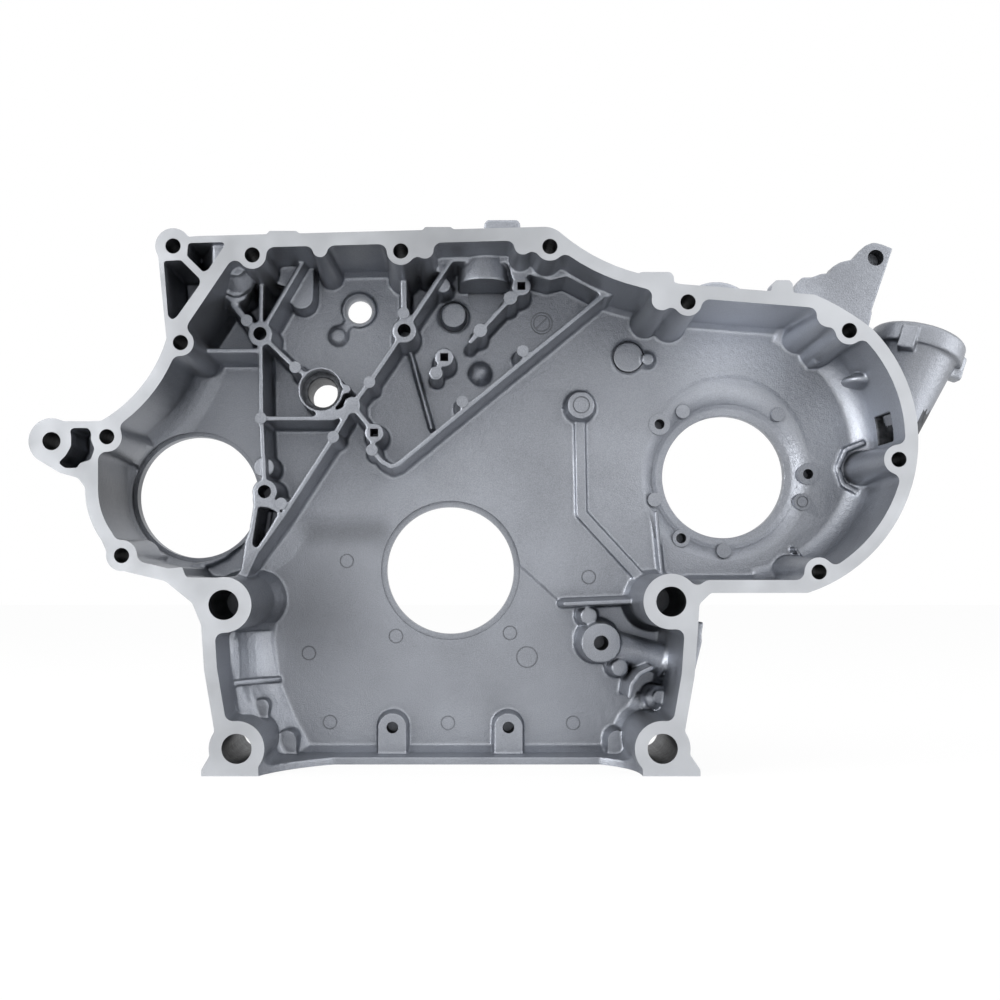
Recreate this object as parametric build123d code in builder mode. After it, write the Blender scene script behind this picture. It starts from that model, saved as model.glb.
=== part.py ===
"""Timing cover: the front cover of an engine's gear train, one aluminium casting.

It stands upright as it sits on the engine, +Z up, and is seen from the engine side along +Y, with +X to
the right. The origin is on the crank axis, at the outer face of the crank seal boss. Depths are measured
from the machined gasket face towards the front of the engine, which is +Y. Places are (x, z) pairs.
"""

from build123d import *
import os

os.makedirs("parts", exist_ok=True)

# Depths below the gasket face
SEAL_FACE = 80.0
FLOOR_DEPTH = 70.0
FLOOR_WALL = 6.0
RIB_DEPTH = 33.0
FLANGE_DEPTH = 13.0
FOOT_DEPTH = 63.0
SUMP_RAIL_DEPTH = 44.0
LUG_DEPTH = 42.0

# Widths and thicknesses
FLANGE = 8.0
WALL_STEP = 2.4
RIB = 3.0
LONG_RIB = 3.2

# Cast corners: radius of the nooks, then height and slope of the edges round the floor, inside and outside
NOOK = 5.0
FLOOR_EDGE = 8.0
FLOOR_EDGE_SLOPE = 29.0
FRONT_EDGE = 5.0
FRONT_EDGE_SLOPE = 38.0

# Bores of the three shafts and the chambers round them
CRANK = (0.0, 0.0)
CRANK_BORE = 43.2
CRANK_RECESS = 47.0
IDLER = (-171.0, 49.6)
IDLER_BORE = 41.2
IDLER_RECESS = 44.0
IDLER_CHAMBER = 53.6
PUMP = (185.8, 63.6)
PUMP_BORE = 41.5
PUMP_MOUTH = 54.0
PUMP_SLOPE = 60.0
PUMP_RECESS = 5.0
PUMP_FACE = 82.0
PUMP_CHAMBER_CENTRE = (190.3, 79.5)
PUMP_CHAMBER = 98.5
COLLAR = 9.0
RECESS_STEP = 1.2

# Hollow curves of the outline, above the middle and left of the waist, and the sump face under the feet
DIP_CENTRE = (146.2, 298.8)
DIP = 119.8
WAIST_CENTRE = (-258.8, 168.2)
WAIST = 88.2
SUMP_FACE = -127.1

# Gasket bolts: place and radius of the boss round each
BOLT_HOLE = 4.6
BOLTS = [
    ((-170.4, 199.6), 11.0),
    ((-121.6, 194.1), 8.6),
    ((-30.1, 196.5), 8.6),
    ((61.8, 199.3), 8.8),
    ((146.9, 165.1), 8.6),
    ((246.3, 147.5), 8.6),
    ((276.8, 68.1), 9.2),
    ((227.6, -1.2), 9.0),
    ((-165.8, 140.1), 8.2),
    ((-211.2, 82.1), 9.3),
    ((-202.1, 8.9), 9.6),
]

# Cast lobes on the inner edge of the gasket face: place and radius
LOBES = [
    ((-79.8, 197.1), 4.3),
    ((-15.2, 197.1), 5.2),
    ((45.2, 199.6), 5.2),
    ((130.8, 166.3), 6.2),
    ((233.7, 157.1), 7.4),
]

# Step of the inner edge between the idler and the left foot
STEP = [(-172, 1), (-164.8, 1.8), (-162.4, -4.6), (-137, -4.9), (-137, -14), (-150, -20), (-158, -14),
        (-172, -3)]

# Long bolts of the two feet
FOOT_HOLE = 9.3
FOOT_BOSS = 17.2
FOOT_TOP_LEFT = (-139.3, -21.5)
FOOT_TOP_RIGHT = (136.6, -19.5)
FOOT_SPAN = 262.6
FOOT_BOLT_HEIGHT = 16.9
FOOT_HOLE_DEPTH = 58.0
FOOT_SIDE = 119.0

# Lug at the left, with its hollow
LUG = (-245.3, 79.4)
LUG_BOSS = 14.2
LUG_HOLE = 5.6
LUG_HOLLOW_DEPTH = 34.0
CORNER_HOLLOW_DEPTH = 58.0
CORNER = [(-200, 140), (-166.5, 146), (-163, 149), (-129, 199.3), (-129, 230), (-220, 230)]

# Rib network of the left chamber
HUB = (-122.6, 152.6)
MIDDLE = (-29.6, 154.6)
LOWER = (-119.7, 50.7)
NODE = (-63.3, 106.6)
DOWEL_HOLE = 4.3
DOWEL_BOSS = 8.0
DOWEL_DEPTH = 25.0
RING = (-83.5, 116.5)
RING_OUTER = 14.8
RING_RECESS = 13.2
RING_RECESS_DEPTH = 12.0
RING_HOLE = 9.65
SQUARES = [(-3.8, 137.4), (46.0, 183.3), (-49.0, 88.7)]
SQUARE_HOLE = 5.2
SQUARE_BOSS = 6.2
SQUARE_DEPTH = 12.0
EJECTOR = 3.8

# Rib with the long straight run, from the corner bolt to below the middle
LONG_RIB_TOP = (92.8, 172.5)
LONG_RIB_END = (-33.4, 68.6)

# Oil gallery boss by the right foot
GALLERY = (98.8, -47.6)
GALLERY_BOSS = 13.1
GALLERY_HOLE = 4.9
GALLERY_DEPTH = 44.0
GALLERY_HOLE_DEPTH = 20.0

# Sump rail bolts between the feet
RAIL_WALL = 4.9
RAIL_REACH = 122.0
RAIL_BOLTS = [(-38.6, -104.5), (38.6, -104.5)]
RAIL_HOLE = 3.9
RAIL_HOLE_DEPTH = 15.0
RAIL_BOSS = 9.7
RAIL_BOSS_DEPTH = 56.0
RAIL_ARCHES = [(-108.9, -112.8), (111.0, -112.8)]
RAIL_ARCH = 6.5

# Raised bead on the floor, from its ring-topped boss down to the right foot
BEAD = 7.4
BEAD_LIFT = 3.0
BEAD_LINE = [(86.9, 109.8), (88.2, 38.0), (131.0, -8.5)]

# Bosses on the floor: depth of the top, place and radius
FLOOR_BOSSES = [
    (14.0, (-134.9, 191.0), 6.0),
    (28.0, (-137.4, 184.4), 9.0),
    (48.0, (-143.5, 180.2), 9.8),
    (42.0, (-121.8, 67.4), 6.8),
    (45.0, (-4.7, 187.0), 5.0),
    (50.0, (91.5, -30.1), 5.6),
    (50.0, (111.9, -64.4), 5.6),
    (55.0, (86.9, 109.8), 9.1),
    (59.0, (2.1, 170.5), 8.3),
    (66.0, (119.6, 143.4), 9.0),
    (67.0, (-61.5, 175.3), 11.8),
    (67.0, (-75.4, 157.9), 6.6),
]
FLOOR_HOLE = (-61.5, 175.3)
FLOOR_HOLE_RADIUS = 8.2
DOME = (20.0, 132.4)
DOME_DEPTH = 62.0
DOME_TOP = 3.6
DOME_SLOPE = 30.0

# Straight fins and long bosses on the floor: depth of the top, width and ends
FLOOR_FINS = [
    (45.0, 3.0, (75.4, -22.1), (124.0, -20.1)),
    (50.0, 15.9, (-98.5, 180.3), (-98.0, 201.0)),
    (50.0, 5.0, (254.0, 148.7), (242.5, 138.5)),
    (62.0, 2.4, (-27.3, 147.8), (-12.5, 94.8)),
]

# Oil filler neck on the right wall, a funnel: place and depth of its rim, its lean, and lengths from the rim
NECK_RIM = (304.2, 38.0, 150.2)
NECK_LEAN = (0.314, 0.075, 0.949)
NECK_ACROSS = (0.949, 0.0, -0.314)
NECK_TAPER = 10.9
NECK = 26.2
NECK_BORE = 24.6
NECK_LENGTH = 70.0
NECK_PASSAGE = 64.0
NECK_COLLAR = 29.8
NECK_COLLAR_LENGTH = 13.0
NECK_LIP = 2.0
NECK_LUGS = 3
NECK_LUG = (9.0, 10.0)
NECK_LUG_REACH = (4.0, 19.0)

# Window from the right chamber into the neck
WINDOW_HEIGHT = 18.5
WINDOW_MIDDLE = 91.0
WINDOW_DEPTHS = (20.0, 46.0)
WINDOW_REACH = (268.0, 293.0)

# Bracket behind the flange at the upper right
BRACKET_HOLE = (267.9, 196.5)
BRACKET_HOLE_RADIUS = 5.0
BRACKET_HOLE_DEPTH = 10.0
BRACKET_DEPTH = 15.0
BRACKET_THICKNESS = 13.0
BRACKET_WEB = 40.0

# Outer side: bolt columns, stiffening ribs, two tabs and the round boss behind the top wall
COLUMN_DEPTH = 74.0
COLUMN_STEP = 0.6
STIFFENER = 5.0
REAR_DEPTH = 45.0
REAR_LENGTH = 16.0
REAR_BOSS = (174.7, 160.0)
REAR_BOSS_RADIUS = 29.2

# Half-round boss at the top wall, its round side towards the gasket face
BARREL = 22.0
BARREL_DEPTH = 46.0
BARREL_RADIUS = 16.2
BARREL_FOOT = 187.1
BARREL_TOP = 204.0

# Wide floor fillet of the right chamber, and the slopes beside the left foot
BOWL_FILLET = 20.0
BOWL_START = -80.0
BOWL_SWEEP = 150.0
SLOPE_DEPTH = 42.0
SLOPE_TOP = [(-135, -6), (-130, -16), (-132, -34), (-142.5, -45), (-142, -74), (-137, -97), (-125, -124)]
SLOPE_FOOT = [(-124, -2), (-113.8, -14), (-117, -32), (-119, -45), (-115.4, -74.2), (-104.6, -99.9),
              (-91.5, -124)]
SLOPE_BACK = [(-148, -124), (-150, -20)]

# Oil pipe cast in the wall by the gallery, thin guard beside it, and the stub under it
PIPE = 10.5
PIPE_DEPTH = 60.0
PIPE_END = (148.0, -61.0)
GUARD = [(115.6, -81.4), (116.8, -73.7), (122, -66.6), (129.7, -62.8)]
GUARD_DEPTH = 30.0
STUB = (136.1, -83.7)
STUB_RADIUS = 7.5
STUB_DEPTH = 48.0

# Small tapped holes round the pump bore
TAPPED = [(141.0, 98.6), (155.6, 21.7), (241.2, 65.0)]
TAPPED_HOLE = 3.4
TAPPED_BOSS = 7.4
TAPPED_DEPTH = 9.0

# How far cuts run past the faces that they cut
CUT = 1.0


def level(depth):
    """The upright plane this deep below the gasket face, its x to the right and its y up."""
    return Plane.XZ.offset(SEAL_FACE - depth)


def grow(sketch, low, high, **options):
    """Extrudes a sketch that was drawn at depth low until depth high."""
    extrude(sketch, amount=low - high, **options)


def bar(start, end, width):
    """Adds a straight bar with round ends to the open sketch."""
    middle = ((start[0] + end[0]) / 2, (start[1] + end[1]) / 2)
    SlotCenterPoint(middle, end, width)


def bars(points, width):
    """Adds bars from each point to the next."""
    for start, end in zip(points, points[1:]):
        bar(start, end, width)


def discs(places, radius, mode=Mode.ADD):
    """Adds a disc at each place to the open sketch."""
    with Locations(*places):
        Circle(radius, mode=mode)


def area(points, mode=Mode.ADD):
    """Adds the area inside straight edges to the open sketch."""
    Polygon(*points, align=None, mode=mode)


def foot_bolts():
    """Places of the four long bolts of the feet."""
    height = SUMP_FACE + FOOT_BOLT_HEIGHT
    return [FOOT_TOP_LEFT, FOOT_TOP_RIGHT, (-FOOT_SPAN / 2, height), (FOOT_SPAN / 2, height)]


def plain_outline():
    """The outline of the gasket face without its bosses."""
    with BuildSketch() as outline:
        with BuildLine():
            top = Polyline((-180, 198), (-172, 204), (-156, 205.7), (57.5, 211.4))
            dip = CenterArc(DIP_CENTRE, DIP, 229.5, 26.8)
            ThreePointArc(top @ 1, (64, 210.4), dip @ 0)
            shoulder = Polyline(dip @ 1, (141.9, 176.2), (225, 169.6))
            chamber = CenterArc(PUMP_CHAMBER_CENTRE, PUMP_CHAMBER, 44, -116)
            ThreePointArc(shoulder @ 1, (244.5, 159.6), chamber @ 0)
            right = Polyline(chamber @ 1, (161, -14.2), (154, -21), (151, -65), (145, -99.5), (147, -112))
            foot = Polyline(right @ 1, (154.6, -123.2), (154.6, SUMP_FACE), (-153.1, SUMP_FACE))
            left = Polyline(foot @ 1, (-153.1, -123.2), (-146.5, -112), (-145.1, -98.6), (-151.3, -61.6))
            shin = Polyline(left @ 1, (-153.1, -33.9), (-158.7, -20.3), (-175.3, -6.8), (-199, -1.2))
            idler = CenterArc(IDLER, IDLER_CHAMBER, 216, -36)
            Polyline(shin @ 1, (-208, 3.5), idler @ 0)
            waist = CenterArc(WAIST_CENTRE, WAIST, -59.9, 42.9)
            Polyline(idler @ 1, (-224.6, 91.5), waist @ 0)
            Line(waist @ 1, top @ 0)
        make_face()
    return outline.sketch


def lug_outline():
    """The lug at the left, which carries one more bolt."""
    with BuildSketch() as lug:
        discs([LUG], LUG_BOSS)
        area([(-245, 91.8), (-214, 91.5), (-214, 51.7), (-225.2, 51.7), (-228.9, 56.7), (-240, 59.8),
              (-252, 67)])
    return lug.sketch


def gasket_outline():
    """The whole machined gasket face, holes apart: walls, outer bosses, lug and the cast pads on top."""
    with BuildSketch() as face:
        add(plain_outline())
        for place, radius in BOLTS:
            discs([place], radius)
        discs(foot_bolts(), FOOT_BOSS)
        with Locations((0, SUMP_FACE)):
            Rectangle(2 * FOOT_SPAN, FOOT_BOSS, align=(Align.CENTER, Align.MAX), mode=Mode.SUBTRACT)
        add(lug_outline())
        for pad in (
            [(-113, 200), (-111.5, 208.9), (-94, 208.9), (-92.5, 200)],
            [(-18, 200), (-15.5, 211.3), (1, 211.3), (3, 200)],
            [(117.9, 176), (117.9, 183.6), (136, 183.6), (138.2, 181), (138.2, 172)],
            [(198.6, 168), (198.6, 176), (201, 178.6), (209.5, 178.6), (211.5, 176), (211.5, 168)],
        ):
            area(pad)
    return face.sketch


def chamber_outline():
    """The inner edge of the gasket face: the outline moved in, less the bosses and the top left corner."""
    with BuildSketch() as chamber:
        add(plain_outline())
        offset(amount=-FLANGE, mode=Mode.REPLACE)
        area(CORNER, Mode.SUBTRACT)
        with Locations((0, SUMP_FACE + RAIL_WALL)):
            Rectangle(2 * RAIL_REACH, FLANGE, align=(Align.CENTER, Align.MIN))
        for place, radius in BOLTS + LOBES:
            discs([place], radius, Mode.SUBTRACT)
        discs(foot_bolts(), FOOT_BOSS, Mode.SUBTRACT)
        offset(amount=-NOOK, kind=Kind.INTERSECTION, mode=Mode.REPLACE)
        offset(amount=NOOK, mode=Mode.REPLACE)
    return chamber.sketch


def walls():
    """The outer form in front of the flange: upright walls and a sloped front edge."""
    with BuildPart() as shell:
        with BuildSketch(level(FLANGE_DEPTH - CUT)):
            add(plain_outline())
            offset(amount=-(FLANGE + NOOK), kind=Kind.INTERSECTION, mode=Mode.REPLACE)
            offset(amount=FLANGE + NOOK - WALL_STEP, mode=Mode.REPLACE)
        extrude(amount=FLANGE_DEPTH - CUT - (FLOOR_DEPTH + FLOOR_WALL - FRONT_EDGE))
        extrude(shell.faces().sort_by(Axis.Y)[-1], amount=FRONT_EDGE, taper=FRONT_EDGE_SLOPE)
    return shell.part


def chamber():
    """The space inside, which narrows where the walls meet the floor."""
    with BuildPart() as space:
        with BuildSketch(level(-CUT)):
            add(chamber_outline())
        extrude(amount=-(FLOOR_DEPTH - FLOOR_EDGE + CUT))
        extrude(space.faces().sort_by(Axis.Y)[-1], amount=FLOOR_EDGE, taper=FLOOR_EDGE_SLOPE)
    return space.part


def neck_plane(along=0.0):
    """The plane square to the filler neck, this far below its rim."""
    x, depth, z = NECK_RIM
    return Plane(origin=(x, depth - SEAL_FACE, z), x_dir=NECK_ACROSS, z_dir=NECK_LEAN).offset(-along)


def filler_neck():
    """The oil filler neck: a funnel that narrows towards the wall, with a collar and its lugs."""
    start, end = NECK_LUG_REACH
    with BuildPart() as neck:
        with BuildSketch(neck_plane(NECK_COLLAR_LENGTH)):
            Circle(NECK)
        extrude(amount=NECK_COLLAR_LENGTH - NECK_LENGTH, taper=NECK_TAPER)
        with BuildSketch(neck_plane()):
            Circle(NECK_COLLAR)
        extrude(amount=-NECK_COLLAR_LENGTH)
        chamfer(neck.edges().filter_by(GeomType.CIRCLE).sort_by(Axis((0, 0, 0), NECK_LEAN))[-1], NECK_LIP)
        with BuildSketch(neck_plane(start)):
            with PolarLocations(NECK_COLLAR - NECK_LIP, NECK_LUGS):
                Rectangle(*NECK_LUG)
        extrude(amount=start - end)
    return neck.part


def neck_passage():
    """The bore of the filler neck, which ends at the wall of the right chamber."""
    with BuildPart() as passage:
        with BuildSketch(neck_plane()):
            Circle(NECK_BORE)
        extrude(amount=-NECK_PASSAGE, taper=NECK_TAPER)
        with BuildSketch(level(-CUT)) as inner:
            discs([PUMP_CHAMBER_CENTRE], PUMP_CHAMBER - WALL_STEP)
        grow(inner.sketch, 0, 2 * SEAL_FACE, mode=Mode.SUBTRACT)
    return passage.part


def bracket():
    """The bracket behind the flange at the upper right, with a tapped eye."""
    with BuildSketch(level(BRACKET_DEPTH)) as plate:
        area([(216.4, 174.9), (218.4, 180), (221.9, 184.4), (227.8, 184.4), (233.5, 186.5), (239.2, 187.2),
              (241.4, 191.3), (245.8, 193.9), (253.6, 195.7), (261.7, 204.5), (266.8, 206.4), (272.2, 205.1),
              (278.8, 202.4), (263.1, 156), (222, 160)])
    grow(plate.sketch, 0, BRACKET_THICKNESS)
    with BuildSketch(level(BRACKET_DEPTH)) as web:
        area([(228, 182), (236, 184.5), (266, 162), (262, 146), (232, 156)])
    grow(web.sketch, 0, BRACKET_WEB)


def outside():
    """Features on the outer side: bolt columns, feet, seal collars, pads and stiffening ribs."""
    with BuildSketch(level(0)) as columns:
        for place, radius in BOLTS:
            discs([place], radius - COLUMN_STEP)
    grow(columns.sketch, 0, COLUMN_DEPTH)
    with BuildSketch(level(0)) as feet:
        discs(foot_bolts(), FOOT_BOSS)
        with Locations((0, SUMP_FACE)):
            Rectangle(2 * FOOT_SPAN, FOOT_BOSS, align=(Align.CENTER, Align.MAX), mode=Mode.SUBTRACT)
    grow(feet.sketch, 0, FOOT_DEPTH)
    with BuildSketch(level(0)) as sump_rail:
        with Locations((0, SUMP_FACE)):
            Rectangle(FOOT_SPAN, FLANGE, align=(Align.CENTER, Align.MIN))
    grow(sump_rail.sketch, 0, FLOOR_DEPTH + FLOOR_WALL)
    with BuildSketch(level(0)) as lug:
        add(lug_outline())
    grow(lug.sketch, 0, LUG_DEPTH)
    with BuildSketch(level(0)) as corner:
        add(plain_outline())
        area(CORNER, Mode.INTERSECT)
    grow(corner.sketch, 0, CORNER_HOLLOW_DEPTH + FLOOR_WALL)
    with BuildSketch(level(FLOOR_DEPTH)) as collars:
        discs([CRANK], CRANK_BORE + COLLAR)
        discs([IDLER], IDLER_BORE + COLLAR)
    grow(collars.sketch, 0, SEAL_FACE - FLOOR_DEPTH)
    with BuildSketch(level(FLOOR_DEPTH)) as pump_collar:
        discs([PUMP], PUMP_MOUTH + COLLAR / 2)
        discs(TAPPED, TAPPED_BOSS)
    grow(pump_collar.sketch, 0, PUMP_FACE - FLOOR_DEPTH)
    with BuildSketch(level(FLOOR_DEPTH)) as stiffeners:
        bars([(-113, 32.5), (-50, 14.4)], 2 * RIB)
        bars([(50, 12), (128, 40)], 2 * RIB)
        bars([(-60, 110), (-20, 45)], 2 * RIB)
        bars([(80, 150), (24, 46)], 2 * RIB)
        bars([(-110, -85), (-36, -36)], 2 * RIB)
        bars([(110, -85), (36, -36)], 2 * RIB)
    grow(stiffeners.sketch, 0, FLOOR_WALL + STIFFENER)
    with BuildSketch(level(REAR_DEPTH)) as rear:
        area([(22.3, 200), (22.3, 227.5), (24.3, 229.8), (44, 229.8), (46, 227.5), (46, 200)])
        area([(145, -33), (166.2, -33.9), (164.9, -42.4), (165.2, -47), (158.4, -75.1), (145, -75)])
        discs([REAR_BOSS], REAR_BOSS_RADIUS)
    grow(rear.sketch, 0, REAR_LENGTH)


def seal_bores():
    """The three shaft bores with their machined steps."""
    with BuildSketch(level(FLOOR_DEPTH - FLOOR_EDGE)) as bores:
        discs([CRANK], CRANK_BORE)
        discs([IDLER], IDLER_BORE)
        discs([PUMP], PUMP_BORE)
    grow(bores.sketch, 0, PUMP_FACE, mode=Mode.SUBTRACT)
    with BuildSketch(level(FLOOR_DEPTH - CUT)) as recess:
        discs([CRANK], CRANK_RECESS)
        discs([IDLER], IDLER_RECESS)
    grow(recess.sketch, 0, CUT + RECESS_STEP, mode=Mode.SUBTRACT)
    with BuildSketch(level(FLOOR_DEPTH)) as mouth:
        discs([PUMP], PUMP_MOUTH)
    grow(mouth.sketch, 0, PUMP_RECESS, taper=PUMP_SLOPE, mode=Mode.SUBTRACT)


def rib_network():
    """The ribs, dowel bosses and ring boss of the left chamber, which end level at the rib plane."""
    with BuildSketch(level(RIB_DEPTH)) as ribs:
        area([(-127.7, 46.6), (-127, 42), (-129.6, 25.9), (-132.2, 19.5), (-134.1, 6.6), (-136.1, -6),
              (-131.6, -6), (-121.2, 16.3), (-109.6, 38.8), (-113.5, 43.3)])
        area([(-123.8, 40.8), (-117.4, 40.1), (-110.9, 36.9), (-121.2, 19.5), (-125.1, 14.3),
              (-127.7, 16.9)], Mode.SUBTRACT)
        discs([HUB, MIDDLE, LOWER], DOWEL_BOSS)
        bars([(-121.6, 190), HUB, (-122, 98), LOWER], RIB)
        bars([(-30.1, 192), (-29.9, 165.7)], RIB + 1)
        bars([(-160, 141.7), (-122.6, 141.7)], RIB)
        bars([(-95.2, 199.5), HUB, (-99.8, 130.8), (-94, 126.5)], RIB)
        bars([(-122, 97.9), (-84, 97.9)], RIB)
        bars([(-84, 99.5), (-76, 99.5), (-69, 102), NODE], 2 * RIB)
        bars([MIDDLE, (-52, 121.2), NODE, (-75.3, 85.9), (-107.5, 36), (-135.5, -3)], LONG_RIB)
        bars([NODE, (-49, 88.7), (-50.4, 77.5)], LONG_RIB)
        bars([(-50.4, 77.5), (-44, 70), (-38, 66.8), LONG_RIB_END, LONG_RIB_TOP], LONG_RIB)
        bars([MIDDLE, (2.3, 203)], LONG_RIB)
        discs([NODE], 5.5)
        discs([(-131, 160.9), (-99.8, 130.8), (-122, 98), (-75.3, 85.9), (-108.9, 43)], EJECTOR)
        discs([(-30, 165.7), (-52, 121.2), (-50.4, 77.5)], EJECTOR)
        bars([(-131, 160.9), (-139, 172)], RIB - 1)
        discs([RING], RING_OUTER)
        bar((-72, 117), (-67, 117), 6)
        bars([(-9.2, 127.2), (-3.8, 137.4)], RIB)
        discs(SQUARES, SQUARE_BOSS)
        discs([(-9.2, 127.2), (19.5, 154.6), (38.9, 175.4)], EJECTOR + 0.8)
        bars([(46, 183.3), (38.9, 175.4), (13.1, 147.6)], RIB)
        discs([(7.8, 108.7), (46.9, 141.3)], EJECTOR)
    grow(ribs.sketch, 0, FLOOR_DEPTH - RIB_DEPTH + CUT)


def arches(places, radius):
    """Adds arches that stand on the sump face to the open sketch, each with its round top at a place."""
    discs(places, radius)
    for x, z in places:
        with Locations((x, z)):
            Rectangle(2 * radius, z - SUMP_FACE, align=(Align.CENTER, Align.MAX))


def floor_features():
    """Lower bosses, fins, arches and the bead that stand on the floor."""
    for depth, place, radius in FLOOR_BOSSES:
        with BuildSketch(level(depth)) as top:
            discs([place], radius)
        grow(top.sketch, 0, FLOOR_DEPTH - depth + CUT)
    for depth, width, start, end in FLOOR_FINS:
        with BuildSketch(level(depth)) as fin:
            bar(start, end, width)
        grow(fin.sketch, 0, FLOOR_DEPTH - depth + CUT)
    with BuildSketch(level(DOME_DEPTH)) as dome:
        discs([DOME], DOME_TOP)
    grow(dome.sketch, 0, FLOOR_DEPTH - DOME_DEPTH, taper=-DOME_SLOPE)
    with BuildSketch(level(RAIL_BOSS_DEPTH)) as rail:
        arches(RAIL_BOLTS, RAIL_BOSS)
        arches(RAIL_ARCHES, RAIL_ARCH)
    grow(rail.sketch, 0, FLOOR_DEPTH - RAIL_BOSS_DEPTH + CUT)
    with BuildSketch(level(FLOOR_DEPTH - BEAD_LIFT)) as bead:
        bars(BEAD_LINE, BEAD)
    grow(bead.sketch, 0, BEAD_LIFT + CUT)


def barrel():
    """The half-round boss at the top wall, with straight sides down to the floor."""
    with BuildSketch(Plane.XY.offset(BARREL_FOOT)) as section:
        with Locations((BARREL, BARREL_DEPTH - SEAL_FACE)):
            Circle(BARREL_RADIUS)
            Rectangle(2 * BARREL_RADIUS, FLOOR_DEPTH - BARREL_DEPTH, align=(Align.CENTER, Align.MIN))
    extrude(section.sketch, amount=BARREL_TOP - BARREL_FOOT)


def oil_pipe():
    """The gallery boss, the pipe cast from it to the right wall, the guard beside it and the stub."""
    with BuildSketch(level(GALLERY_DEPTH)) as boss:
        discs([GALLERY], GALLERY_BOSS)
    grow(boss.sketch, 0, FLOOR_DEPTH - GALLERY_DEPTH + CUT)
    run = (PIPE_END[0] - GALLERY[0], 0, PIPE_END[1] - GALLERY[1])
    with BuildSketch(Plane(origin=(GALLERY[0], PIPE_DEPTH - SEAL_FACE, GALLERY[1]), z_dir=run)) as pipe:
        Circle(PIPE)
    extrude(pipe.sketch, amount=Vector(run).length)
    with BuildSketch(level(GUARD_DEPTH)) as guard:
        bars(GUARD, RIB)
    grow(guard.sketch, 0, FLOOR_DEPTH - GUARD_DEPTH)
    with BuildSketch(level(STUB_DEPTH)) as stub:
        discs([STUB], STUB_RADIUS)
    grow(stub.sketch, 0, FLOOR_DEPTH - STUB_DEPTH)


def foot_slope():
    """The long slope from the left foot down to the floor."""
    with BuildSketch(level(SLOPE_DEPTH)) as top:
        area(SLOPE_TOP + SLOPE_BACK)
    with BuildSketch(level(FLOOR_DEPTH)) as foot:
        area(SLOPE_FOOT + SLOPE_BACK)
    loft([top.sketch, foot.sketch], ruled=True)


def inner_step():
    """The step of the gasket face between the idler chamber and the left foot."""
    with BuildSketch(level(0)) as step:
        area(STEP)
    grow(step.sketch, 0, FLOOR_DEPTH)


def bowl():
    """The wide hollow fillet between the floor and the round wall of the right chamber."""
    x, z = PUMP_CHAMBER_CENTRE
    wall = PUMP_CHAMBER - FLANGE
    floor = SEAL_FACE - FLOOR_DEPTH
    start = Plane(origin=(x, 0, z), x_dir=(1, 0, 0), z_dir=(0, 0, -1)).rotated((0, -BOWL_START, 0))
    with BuildSketch(start) as profile:
        with BuildLine():
            hollow = RadiusArc((wall, floor + BOWL_FILLET), (wall - BOWL_FILLET, floor), BOWL_FILLET)
            Polyline(hollow @ 1, (wall - BOWL_FILLET, floor - CUT), (wall + CUT, floor - CUT),
                     (wall + CUT, floor + BOWL_FILLET), hollow @ 0)
        make_face()
    revolve(profile.sketch, axis=Axis((x, 0, z), (0, -1, 0)), revolution_arc=BOWL_SWEEP)


def hollows():
    """Blind hollows of the flange: two at the top left corner and one in the lug."""
    with BuildSketch(level(0)) as deep:
        area([(-176.2, 190.3), (-165.5, 191), (-153.8, 179.3), (-153.8, 176), (-168, 156), (-171, 154),
              (-173.5, 156.5)])
        area([(-161.1, 201.4), (-139.6, 202), (-138.4, 200.2), (-148.8, 184.8), (-151.9, 183.6),
              (-161.8, 193.4)])
    grow(deep.sketch, 0, CORNER_HOLLOW_DEPTH, mode=Mode.SUBTRACT)
    with BuildSketch(level(0)) as kidney:
        area([(-233.8, 86.2), (-232, 87.5), (-222.7, 87.5), (-220.9, 85), (-220.9, 80.1), (-218.7, 74.5),
              (-221.2, 67.8), (-227.7, 65.9), (-229.5, 62.8), (-236.9, 62.8), (-241.2, 65.9), (-236.3, 70.8),
              (-233.2, 76.4), (-233.2, 81.9)])
    grow(kidney.sketch, 0, LUG_HOLLOW_DEPTH, mode=Mode.SUBTRACT)


def drill(places, radius, depth, length):
    """Cuts a round hole at each place, this long from this depth."""
    with BuildSketch(level(depth)) as hole:
        discs(places, radius)
    grow(hole.sketch, 0, length, mode=Mode.SUBTRACT)


def holes():
    """Bolt, dowel, gallery and tapped holes, the ring boss and the square sockets."""
    drill([place for place, radius in BOLTS], BOLT_HOLE, 0, SEAL_FACE)
    drill([LUG], LUG_HOLE, 0, SEAL_FACE)
    drill(foot_bolts()[2:], FOOT_HOLE, 0, SEAL_FACE)
    drill(foot_bolts()[:2], FOOT_HOLE, 0, FOOT_HOLE_DEPTH)
    drill([BRACKET_HOLE], BRACKET_HOLE_RADIUS, BRACKET_DEPTH, BRACKET_HOLE_DEPTH)
    drill([HUB, MIDDLE, LOWER], DOWEL_HOLE, RIB_DEPTH, DOWEL_DEPTH)
    drill([RING], RING_RECESS, RIB_DEPTH, RING_RECESS_DEPTH)
    drill([RING], RING_HOLE, RIB_DEPTH, SEAL_FACE)
    drill([FLOOR_HOLE], FLOOR_HOLE_RADIUS, RIB_DEPTH, SEAL_FACE)
    drill([GALLERY], GALLERY_HOLE, GALLERY_DEPTH, GALLERY_HOLE_DEPTH)
    drill(RAIL_BOLTS, RAIL_HOLE, RAIL_BOSS_DEPTH, RAIL_HOLE_DEPTH)
    drill(TAPPED, TAPPED_HOLE, FLOOR_DEPTH - CUT, TAPPED_DEPTH + CUT)
    with BuildSketch(level(RIB_DEPTH)) as squares:
        with Locations(*SQUARES):
            Rectangle(SQUARE_HOLE, SQUARE_HOLE)
    grow(squares.sketch, 0, SQUARE_DEPTH, mode=Mode.SUBTRACT)


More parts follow.
